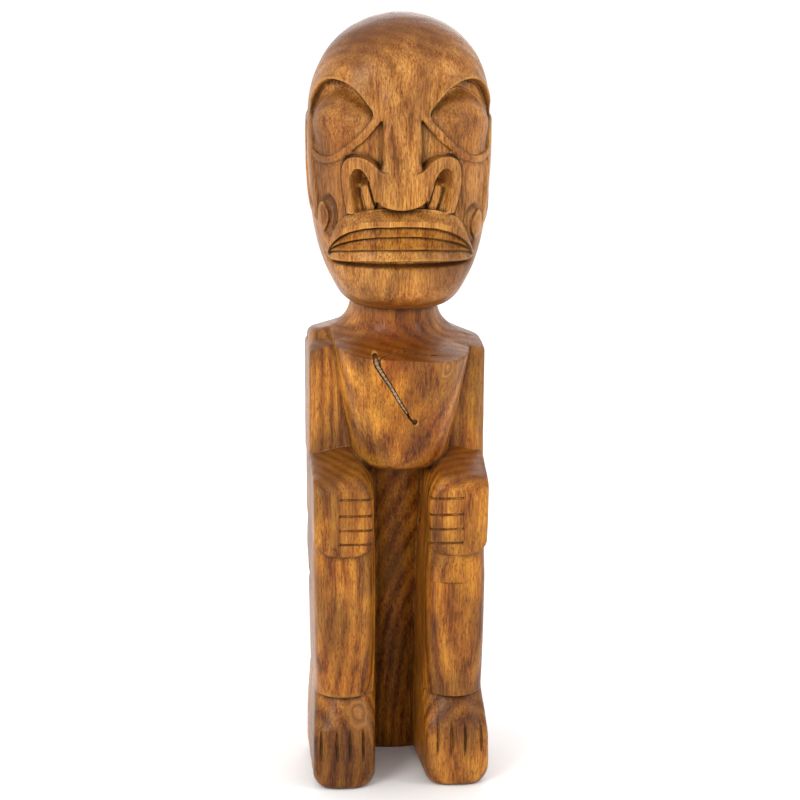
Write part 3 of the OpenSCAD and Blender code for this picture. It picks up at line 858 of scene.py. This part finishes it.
def shading(verts, field, names):
    """Each vertex's normal, how deep in a hollow it lies, and how far out on an edge."""

    def solid(x, y, z):
        return carving(x, y, z, names)

    value, grad = gradient(solid, verts)
    _, own = gradient(field, verts)
    grad = np.where((np.abs(value) < 0.9)[:, None], grad, own)
    normal = grad / np.maximum(np.linalg.norm(grad, axis=1, keepdims=True), 1e-6)
    # hollow estimates how shut in each point is, from how near the wood lies out along the normal; the wood
    # material paints shade and patina into creases with it
    hollow, edge = 0, 0
    for reach, share in HOLLOW_PROBES:
        d = solid(*(verts + normal * reach).T.astype(np.float32))
        hollow = hollow + share * np.clip(1 - d / reach, 0, 1.2)
    for reach, share in EDGE_PROBES:
        d = solid(*(verts - normal * reach).T.astype(np.float32))
        edge = edge + share * np.clip(1 + d / reach, 0, 1)
    return normal, hollow, edge


def add_object(name, data):
    made = bpy.data.objects.new(name, data)
    bpy.context.scene.collection.objects.link(made)
    return made


def build(name, wood):
    """One carved piece in place of its CAD node."""
    size = MEMBERS[name][1] * 1.0
    names = neighbours(name)
    low, high = BOXES[name]
    pad = MARGIN + REACH.get(kind_of(name), 0) * 0.5
    field = own_part(name, names)
    grid, axes = sample(field, low - pad, high + pad, size)
    verts, quads = surface_net(grid, axes)
    verts = settle(field, verts, size)
    normal, hollow, edge = shading(verts, field, names)
    mesh = bpy.data.meshes.new(name + "_carved")
    mesh.from_pydata((verts / MM).tolist(), [], quads.tolist())
    mesh.update()
    for label, data in (("hollow", hollow), ("edge", edge)):
        mesh.attributes.new(label, "FLOAT", "POINT").data.foreach_set("value", np.asarray(data, np.float32))
    mesh.shade_smooth()
    mesh.normals_split_custom_set_from_vertices(normal.tolist())
    mesh.materials.append(wood)
    piece = add_object(name + "_carved", mesh)
    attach(piece, "root")
    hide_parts(name)
    print(name, len(verts), "vertices", flush=True)
    return piece


# ---- materials ----
class Graph:
    """Short way to write shader nodes."""

    def __init__(self, name):
        self.material = bpy.data.materials.new(name)
        self.material.use_nodes = True
        self.nodes = self.material.node_tree.nodes
        self.links = self.material.node_tree.links
        self.shader = self.nodes["Principled BSDF"]
        self.place = self.node("ShaderNodeTexCoord").outputs["Object"]

    def node(self, kind, **values):
        made = self.nodes.new(kind)
        for key, value in values.items():
            setattr(made, key, value)
        return made

    def feed(self, socket, value):
        if isinstance(value, bpy.types.NodeSocket):
            self.links.new(value, socket)
        else:
            socket.default_value = value

    def drive(self, socket, value):
        self.feed(self.shader.inputs[socket], value)

    def math(self, operation, a, b=0.0, c=0.0, clamp=False):
        made = self.node("ShaderNodeMath", operation=operation, use_clamp=clamp)
        for socket, value in zip(made.inputs, (a, b, c)):
            self.feed(socket, value)
        return made.outputs[0]

    def times(self, a, b):
        return self.math("MULTIPLY", a, b)

    def plus(self, a, b):
        return self.math("ADD", a, b)

    def vector(self, operation, a, b=(0.0, 0.0, 0.0), scale=1.0):
        made = self.node("ShaderNodeVectorMath", operation=operation)
        self.feed(made.inputs[0], a)
        self.feed(made.inputs[1], b)
        if operation == "SCALE":
            self.feed(made.inputs["Scale"], scale)
        return made.outputs["Value"] if operation in ("LENGTH", "DISTANCE") else made.outputs[0]

    def squash(self, where, share):
        return self.vector("MULTIPLY", where, (1.0, 1.0, share))

    def noise(self, where, scale, detail=2.0, rough=0.5, warp=0.0, colour=False):
        made = self.node("ShaderNodeTexNoise")
        self.feed(made.inputs["Vector"], where)
        for key, value in (("Scale", scale), ("Detail", detail), ("Roughness", rough), ("Distortion", warp)):
            made.inputs[key].default_value = value
        return made.outputs["Color" if colour else "Fac"]

    def span(self, value, low, high, to_low=0.0, to_high=1.0):
        """Smooth clamp of a value from one range to another."""
        made = self.node("ShaderNodeMapRange", interpolation_type="SMOOTHSTEP")
        for socket, number in zip(made.inputs, (value, low, high, to_low, to_high)):
            self.feed(socket, number)
        return made.outputs[0]

    def ramp(self, value, stops):
        made = self.node("ShaderNodeValToRGB")
        self.feed(made.inputs[0], value)
        band = made.color_ramp
        for k, (at, colour) in enumerate(stops):
            element = band.elements[k] if k < 2 else band.elements.new(at)
            element.position = at
            element.color = (*colour, 1)
        return made.outputs[0]

    def mix(self, share, a, b, kind="MIX"):
        made = self.node("ShaderNodeMix", data_type="RGBA", blend_type=kind)
        self.feed(made.inputs[0], share)
        for socket, value in ((made.inputs[6], a), (made.inputs[7], b)):
            self.feed(socket, value if isinstance(value, bpy.types.NodeSocket) else (*value, 1))
        return made.outputs[2]

    def split(self, vector, axis):
        made = self.node("ShaderNodeSeparateXYZ")
        self.feed(made.inputs[0], vector)
        return made.outputs[axis]

    def attribute(self, name):
        return self.node("ShaderNodeAttribute", attribute_name=name).outputs["Fac"]

    def bump(self, height, distance, strength=1.0, normal=None):
        made = self.node("ShaderNodeBump")
        made.inputs["Strength"].default_value = strength
        made.inputs["Distance"].default_value = distance
        self.feed(made.inputs["Height"], height)
        if normal is not None:
            self.feed(made.inputs["Normal"], normal)
        return made.outputs[0]


SHADED = ("post", "hips", "trunk", "mouth_ridges")  # members painted darker throughout, as painted shade
SHADED_TONE = 0.66
HONEY = (0.45, 0.195, 0.043)
AMBER = (0.30, 0.106, 0.017)
UMBER = (0.130, 0.038, 0.005)
PLUM = (0.110, 0.035, 0.010)
# near black for creases: the patina that gathers in them, and painted shade
PATINA_AND_SHADE = (0.026, 0.009, 0.003)
# pale honey for the light grain, and for rubbed edges, where it is wear and also a painted highlight
PALE_HONEY = (0.62, 0.305, 0.062)
PITH = (0.022, 0.030, 0.0)  # where the log's centre line passes, in metres
BODY_TINT = (0.86, 0.75, 0.42)
BODY_FROM, BODY_TO = 0.385, 0.355  # heights where the body's deeper stain begins
RING_PITCH, KNOT_PITCH, FILLER_PITCH = 0.0070, 0.0040, 0.0031
DARK = (0.42, 0.34, 0.24)
RUDDY = (0.74, 0.56, 0.34)
BRIGHT = (1.45, 1.55, 1.35)
# Place, reach, share and tint of the patches that stand out from the rest of the log: some are stains of the
# log, some are painted light and shade that lighten or darken a part
STAINS_AND_PAINTED_LIGHT = [
    ((-0.030, -0.020, 0.606), 0.042, 0.85, DARK), ((0.020, 0.000, 0.612), 0.040, 0.50, DARK),
    ((0.058, -0.040, 0.565), 0.022, 0.35, RUDDY), ((-0.050, -0.045, 0.520), 0.026, 0.50, RUDDY),
    ((0.050, -0.045, 0.520), 0.026, 0.50, RUDDY), ((0.000, -0.072, 0.440), 0.050, 0.85, BRIGHT),
    ((-0.002, -0.040, 0.372), 0.045, 0.95, RUDDY), ((-0.030, -0.060, 0.322), 0.040, 1.00, BRIGHT),
    ((0.014, -0.062, 0.290), 0.034, 0.75, RUDDY), ((0.042, -0.056, 0.318), 0.030, 0.15, RUDDY),
    ((-0.006, -0.055, 0.358), 0.036, 0.75, RUDDY), ((0.064, -0.036, 0.300), 0.044, 1.00, BRIGHT),
    ((-0.045, -0.045, 0.268), 0.030, 0.40, BRIGHT), ((0.047, -0.038, 0.268), 0.036, 0.80, RUDDY),
    ((-0.034, -0.070, 0.228), 0.034, 0.95, BRIGHT), ((0.050, -0.064, 0.150), 0.045, 0.60, RUDDY),
    ((-0.055, -0.060, 0.185), 0.022, 0.45, RUDDY), ((-0.040, -0.066, 0.100), 0.042, 0.45, RUDDY),
    ((0.044, -0.066, 0.172), 0.018, 0.60, BRIGHT), ((0.042, -0.066, 0.143), 0.010, 0.55, DARK),
    ((-0.052, -0.060, 0.020), 0.060, 0.75, DARK), ((0.045, -0.060, 0.060), 0.034, 0.50, DARK),
]
# Knots: place on the surface, and how far the rings reach
KNOTS = [((0.034, -0.062, 0.343), 0.011), ((-0.0335, -0.066, 0.0625), 0.013)]


def grain_of(g, place):
    """Growth rings, fibres, pores and mottling of the log at a place."""
    stretched = g.squash(place, 0.16)
    drift = g.vector("SUBTRACT", g.noise(stretched, 9, 2, 0.5, colour=True), (0.5, 0.5, 0.5))
    warped = g.vector("ADD", place, g.vector("SCALE", drift, scale=0.030))
    flat = g.squash(g.vector("SUBTRACT", warped, PITH), 0.05)
    rings = g.math("SINE", g.times(g.vector("LENGTH", flat), 2 * math.pi / RING_PITCH))
    rings = g.math("MULTIPLY_ADD", rings, 0.5, 0.5)
    fibre = g.noise(g.squash(warped, 0.08), 800, 3, 0.65)
    streak = g.noise(g.squash(warped, 0.06), 120, 4, 0.6)
    pores = g.noise(g.squash(place, 0.16), 1400, 1, 0.4)
    mottle = g.noise(g.squash(place, 0.55), 15, 4, 0.52, 0.6)
    return rings, fibre, streak, g.span(pores, 0.58, 0.66), mottle


def patch_stains_and_light(g, colour, wander):
    """Darker, ruddier and lighter patches: some are the log's own stains, others are painted light and shade
    that lighten or darken a part, such as the crown, the mouth, a hand's top and one arm slab.
    """
    for at, reach, share, tint in STAINS_AND_PAINTED_LIGHT:
        away = g.plus(g.vector("DISTANCE", g.place, at), wander)
        near = g.times(g.span(away, reach * 1.25, reach * 0.35), share)
        colour = g.mix(near, colour, tint, "MULTIPLY")
    return colour


def knot_rings(g, colour):
    """Dark rings round each knot."""
    for at, reach in KNOTS:
        squat = g.squash(g.place, 0.8)
        away = g.vector("DISTANCE", squat, (at[0], at[1], 0.8 * at[2]))
        away = g.plus(away, g.times(g.noise(g.place, 70, 2, 0.5), 0.012))
        wave = g.math("SINE", g.times(away, 2 * math.pi / KNOT_PITCH))
        near = g.span(away, reach * 1.45, reach * 1.15)
        colour = g.mix(g.times(near, 0.75), colour, HONEY)
        share = g.times(g.math("MULTIPLY_ADD", wave, 0.30, 0.32), near)
        colour = g.mix(share, colour, UMBER)
    return colour


def wood_material(name, tone=1.0):
    """The log's wood. A lower tone paints it darker all over, as painted shade."""
    g = Graph(name)
    rings, fibre, streak, pores, mottle = grain_of(g, g.place)
    hollow, edge = g.attribute("hollow"), g.attribute("edge")
    lower = g.span(g.split(g.place, 2), BODY_FROM, BODY_TO)
    ringed = g.times(rings, g.math("MULTIPLY_ADD", lower, 0.07, 0.07))
    body = g.plus(ringed, g.times(streak, 0.36))
    lift = g.math("MULTIPLY_ADD", lower, -0.028, 0.078)
    body = g.plus(body, g.math("MULTIPLY_ADD", fibre, 0.56, lift))
    colour = g.ramp(body, [(0.44, UMBER), (0.76, PALE_HONEY), (0.53, AMBER), (0.64, HONEY)])
    colour = g.mix(g.times(g.span(mottle, 0.50, 0.66), 0.54), colour, PLUM)
    colour = g.mix(g.times(g.span(mottle, 0.46, 0.32), 0.34), colour, PALE_HONEY)
    colour = g.mix(g.times(pores, 0.62), colour, UMBER)
    colour = g.mix(lower, colour, BODY_TINT, "MULTIPLY")
    patches = g.noise(g.squash(g.place, 0.5), 34, 2, 0.5)
    cloud = g.span(patches, 0.36, 0.64, g.math("MULTIPLY_ADD", lower, -0.20, 0.84), 1.12)
    colour = g.vector("SCALE", colour, scale=cloud)
    wander = g.math("MULTIPLY_ADD", mottle, 0.06, -0.03)
    # Knot rings, then stains and patches of painted light and shade
    colour = patch_stains_and_light(g, knot_rings(g, colour), wander)
    # Surfaces facing up or down are darkened: end grain takes more stain, and the same term paints shade on
    # up-facing facets such as the top of the upper lip
    up = g.split(g.node("ShaderNodeTexCoord").outputs["Normal"], 2)
    end_grain_and_shade = g.span(g.math("ABSOLUTE", up), 0.38, 0.88)
    colour = g.mix(g.times(end_grain_and_shade, 0.56), colour, UMBER)
    # Noise that breaks up the wear and patina, and the painted highlight and shade, below
    dirt_and_light_noise = g.noise(g.place, 160, 3, 0.6)
    # Edges lightened: partly wear that rubs them pale, partly a painted highlight along the edges
    wear_and_highlight = g.span(g.plus(edge, g.times(dirt_and_light_noise, 0.25)), 0.50, 0.90)
    colour = g.mix(g.times(wear_and_highlight, 0.50), colour, PALE_HONEY)
    # Creases and recesses darkened with the hollow attribute: partly the patina that gathers in them, partly
    # painted shade where little light reaches
    crease_patina_and_shade = g.span(g.plus(hollow, g.times(dirt_and_light_noise, 0.22)), 0.26, 0.96)
    colour = g.mix(g.times(crease_patina_and_shade, 0.80), colour, PATINA_AND_SHADE)
    colour = g.mix(1.0, colour, (tone, tone**1.28, tone**1.9), "MULTIPLY")
    g.drive("Base Color", colour)
    rough = g.plus(g.times(mottle, 0.22), g.times(fibre, 0.12))
    rough = g.math("ADD", rough, g.math("MULTIPLY_ADD", crease_patina_and_shade, 0.25, 0.20), clamp=True)
    g.drive("Roughness", rough)
    tool = g.noise(g.squash(g.place, 0.55), 62, 2, 0.5)
    normal = g.bump(tool, 0.0016, 0.5)
    height = g.math("SUBTRACT", g.times(fibre, 0.6), g.times(pores, 0.9))
    g.drive("Normal", g.bump(height, 0.00030, 0.6, normal))
    g.drive("Specular IOR Level", 0.19 * tone**2)
    g.drive("Coat Weight", 0.08 * tone**2)
    g.drive("Coat Roughness", 0.26)
    return g.material


def filler_material():
    """Dried filler in the crack: pale crumbly segments with dark edges."""
    g = Graph("crack_filling")
    grit = g.noise(g.place, 900, 3, 0.6)
    bands = g.noise(g.vector("MULTIPLY", g.place, (0.6, 0.6, 1.0)), 210, 2, 0.5)
    colour = g.ramp(g.plus(g.times(grit, 0.4), g.times(bands, 0.6)),
                    [(0.38, (0.09, 0.045, 0.018)), (0.66, (0.47, 0.33, 0.18)), (0.47, (0.30, 0.19, 0.095))])
    seams = g.math("MULTIPLY_ADD", g.split(g.place, 2), 2 * math.pi / FILLER_PITCH, g.times(grit, 9.0))
    colour = g.mix(g.span(g.math("SINE", seams), 0.45, 0.95, 0.0, 0.7), colour, (0.07, 0.035, 0.016))
    rim = g.span(g.attribute("edge"), 0.4, 0.9)
    g.drive("Base Color", g.mix(rim, (0.06, 0.025, 0.012), colour))
    g.drive("Roughness", g.math("MULTIPLY_ADD", grit, 0.3, 0.55))
    g.drive("Normal", g.bump(grit, 0.0006, 0.8))
    return g.material


# ---- crack filling ----
def crack_filling(material):
    """A thin crumbling bead of filler set along the drying crack of the chest."""
    line = spline(CRACK, 14)
    rng = np.random.default_rng(11)
    around = 10
    verts, faces, edge = [], [], []
    for i, (x, z) in enumerate(line):
        share = i / (len(line) - 1)
        taper = min(1, 6 * share + 0.45, 7 * (1 - share) + 0.3)
        wide = (1.55 - 0.6 * share) * taper * rng.uniform(0.66, 1.18)
        tall = 0.9 * rng.uniform(0.7, 1.2)
        y = skin_y(x + 4, z - 3) + 0.25  # just under the skin beside the crack
        for j in range(around):
            turn = 2 * math.pi * j / around
            side = wide * math.cos(turn)
            verts.append(((x + side) / MM, (y - tall * math.sin(turn)) / MM, (z + 0.5 * side) / MM))
            edge.append(max(0.0, math.sin(turn)))
    for i in range(len(line) - 1):
        for j in range(around):
            a, b = i * around + j, i * around + (j + 1) % around
            faces.append((a, a + around, b + around, b))
    faces.append(tuple(range(around)))
    faces.append(tuple(reversed(range((len(line) - 1) * around, len(line) * around))))
    mesh = bpy.data.meshes.new("crack_filler_bead")
    mesh.from_pydata(verts, [], faces)
    mesh.attributes.new("edge", "FLOAT", "POINT").data.foreach_set("value", edge)
    mesh.shade_smooth()
    mesh.materials.append(material)
    piece = add_object("crack_filler_bead", mesh)
    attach(piece, "root")
    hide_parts("crack_filler")
    return piece


def skin_y(x, z):
    """The chest's front at a place seen from the front."""
    near, far = FRONT - 4.0, 0.0
    for _ in range(24):
        mid = (near + far) / 2
        value = chest(*(np.array([c], np.float32) for c in (x, mid, z)))[0]
        near, far = (near, mid) if value < 0 else (mid, far)
    return (near + far) / 2


# ---- camera, light and floor ----
def add_camera():
    """The photograph's view: a little from the figure's right and from above, with a long lens."""
    turn, rise, roll = (math.radians(angle) for angle in (-5.0, 13.0, 0.3))
    distance = 2.0
    target = Vector((0.0, 0.0, 0.5 * CAD_BOX[1][2]))
    back = Vector((math.sin(turn) * math.cos(rise), -math.cos(turn) * math.cos(rise), math.sin(rise)))
    data = bpy.data.cameras.new("view")
    data.lens, data.sensor_width = 112.7, 36.0
    data.shift_x, data.shift_y = 0.0045, -0.0035
    camera = add_object("view", data)
    camera.location = target + back * distance
    camera.rotation_mode = "QUATERNION"
    level = (-back).to_track_quat("-Z", "Y")
    camera.rotation_quaternion = level @ Quaternion((0, 0, 1), roll)
    bpy.context.scene.camera = camera


def add_light(name, place, aim, size, power, colour=(1.0, 1.0, 1.0)):
    data = bpy.data.lights.new(name, "AREA")
    data.shape, data.size, data.size_y = "RECTANGLE", size[0], size[1]
    data.energy, data.color = power, colour
    light = add_object(name, data)
    light.location = place
    light.rotation_mode = "QUATERNION"
    light.rotation_quaternion = (Vector(aim) - Vector(place)).to_track_quat("-Z", "Y")


def add_studio():
    world = bpy.data.worlds.new("studio")
    world.use_nodes = True
    world.node_tree.nodes["Background"].inputs[0].default_value = (1.0, 1.0, 1.0, 1)
    world.node_tree.nodes["Background"].inputs[1].default_value = 1.06
    bpy.context.scene.world = world
    middle = (0, 0, 0.33)
    add_light("left_soft", (-1.3, -1.8, 1.5), middle, (0.8, 1.2), 26, (1.0, 0.97, 0.93))
    add_light("right_soft", (1.6, -0.9, 1.2), middle, (0.4, 1.0), 6)
    add_light("back_soft", (0.3, 1.9, 1.3), middle, (1.4, 1.2), 10)


def add_floor():
    mesh = bpy.data.meshes.new("floor")
    half = 6.0
    corners = [(-half, -half, 0), (half, -half, 0), (half, half, 0), (-half, half, 0)]
    mesh.from_pydata(corners, [], [(0, 1, 2, 3)])
    floor = add_object("floor", mesh)
    g = Graph("pale_floor")
    grain = g.noise(g.place, 30, 3)
    colour = g.ramp(grain, [(0.0, (0.93, 0.93, 0.93)), (1.0, (0.97, 0.97, 0.97))])
    g.drive("Base Color", colour)
    g.drive("Roughness", 0.7)
    mesh.materials.append(g.material)


def main():
    bpy.context.scene.view_settings.view_transform = "Standard"
    add_camera()
    add_studio()
    add_floor()
    wood = wood_material("carved_wood")
    shaded = wood_material("shaded_wood", SHADED_TONE)
    for name in MEMBERS:
        piece = build(name, shaded if name in SHADED else wood)
    crack_filling(filler_material())


main()
